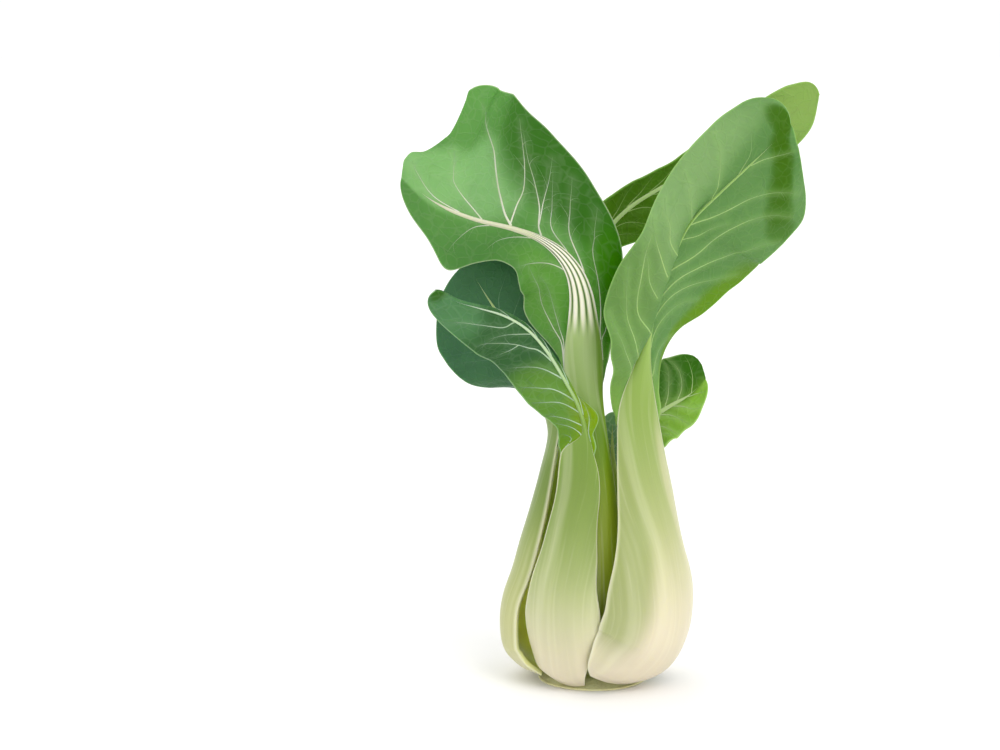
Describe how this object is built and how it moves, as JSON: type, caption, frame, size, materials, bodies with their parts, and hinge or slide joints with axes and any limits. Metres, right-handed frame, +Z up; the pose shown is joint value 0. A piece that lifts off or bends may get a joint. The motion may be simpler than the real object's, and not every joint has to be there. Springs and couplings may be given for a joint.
{
  "type": "bok choy",
  "caption": "Head of baby bok choy: thick pale stalks cupped round one another on a trimmed root end, running up as midribs into spreading, waved green leaves.",
  "frame": {"origin": "the middle of the cut face under the root end, which the head stands on", "axes": "+Z up along the head from the root end to the leaves, -Y towards the front seen in the picture, +X to the right of that view"},
  "size_m": [0.1412, 0.0983, 0.1996],
  "materials": {
    "root": "matte, freshly cut",
    "stalk": "smooth, softly glossy, cream at the foot and light green above",
    "blade": "smooth, softly glossy, mid green with pale veins"
  },
  "bodies": {
    "root": {"root_end": "root", "leaf_right_stalk": "stalk", "leaf_right_blade": "blade", "leaf_front_stalk": "stalk", "leaf_front_blade": "blade", "leaf_left_stalk": "stalk", "leaf_left_blade": "blade", "leaf_tall_stalk": "stalk", "leaf_tall_blade": "blade", "leaf_back_right_stalk": "stalk", "leaf_back_right_blade": "blade", "leaf_small_right_stalk": "stalk", "leaf_small_right_blade": "blade", "leaf_back_left_stalk": "stalk", "leaf_back_left_blade": "blade", "heart_front_stalk": "stalk", "heart_front_blade": "blade", "heart_left_stalk": "stalk", "heart_left_blade": "blade", "heart_back_stalk": "stalk", "heart_back_blade": "blade"}
  },
  "joints": []
}
